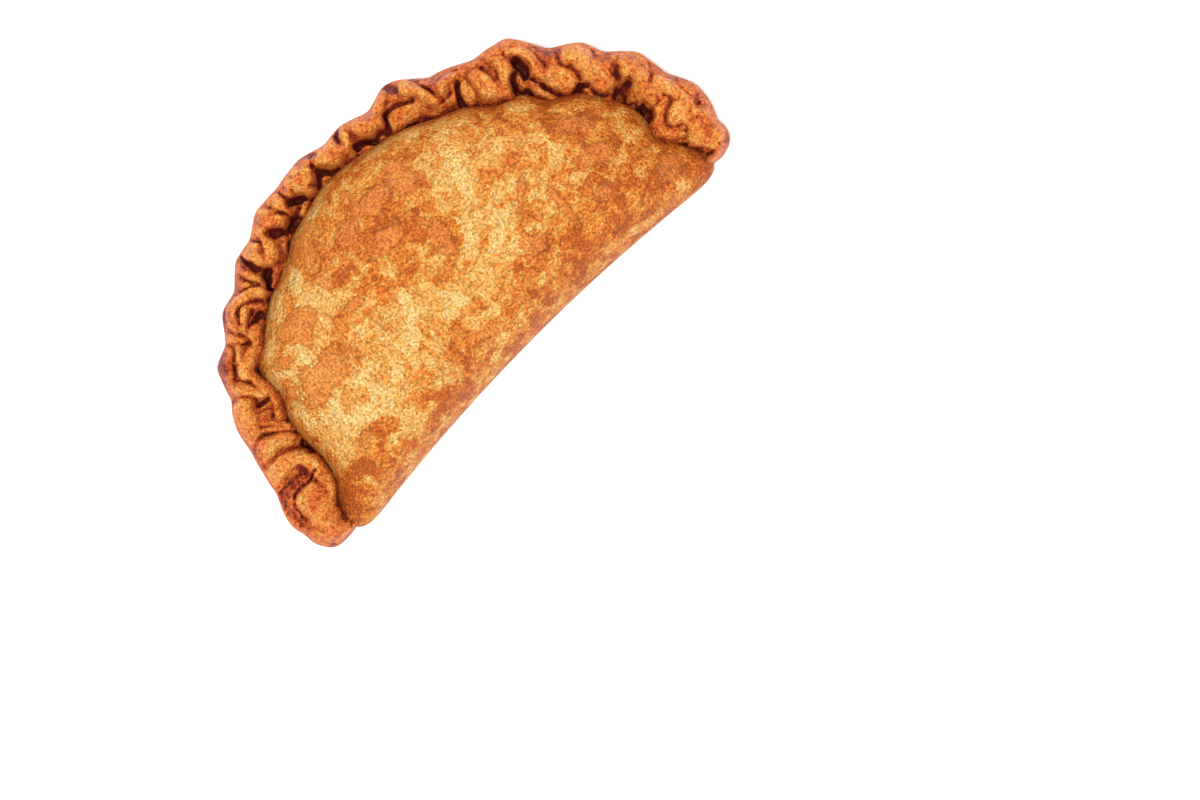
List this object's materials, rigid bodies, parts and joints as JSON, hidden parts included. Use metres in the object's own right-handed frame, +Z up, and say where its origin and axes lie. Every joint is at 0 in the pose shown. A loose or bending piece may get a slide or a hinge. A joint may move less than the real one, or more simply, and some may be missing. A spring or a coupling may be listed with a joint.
{
  "type": "panzerotto",
  "caption": "Fried half-moon panzerotto: a puffed golden dough pocket with a flat underside, a straight folded edge and a thick, deeply crumpled crimp round its curved rim.",
  "frame": {"origin": "middle of the pastry in plan, on the plane it rests on", "axes": "+X along the straight folded edge, +Y towards the crimped rim, +Z up from the underside"},
  "size_m": [0.2198, 0.1122, 0.0417],
  "materials": {
    "fried_crust": null
  },
  "bodies": {
    "root": {"panzerotto": "fried_crust"}
  },
  "joints": []
}
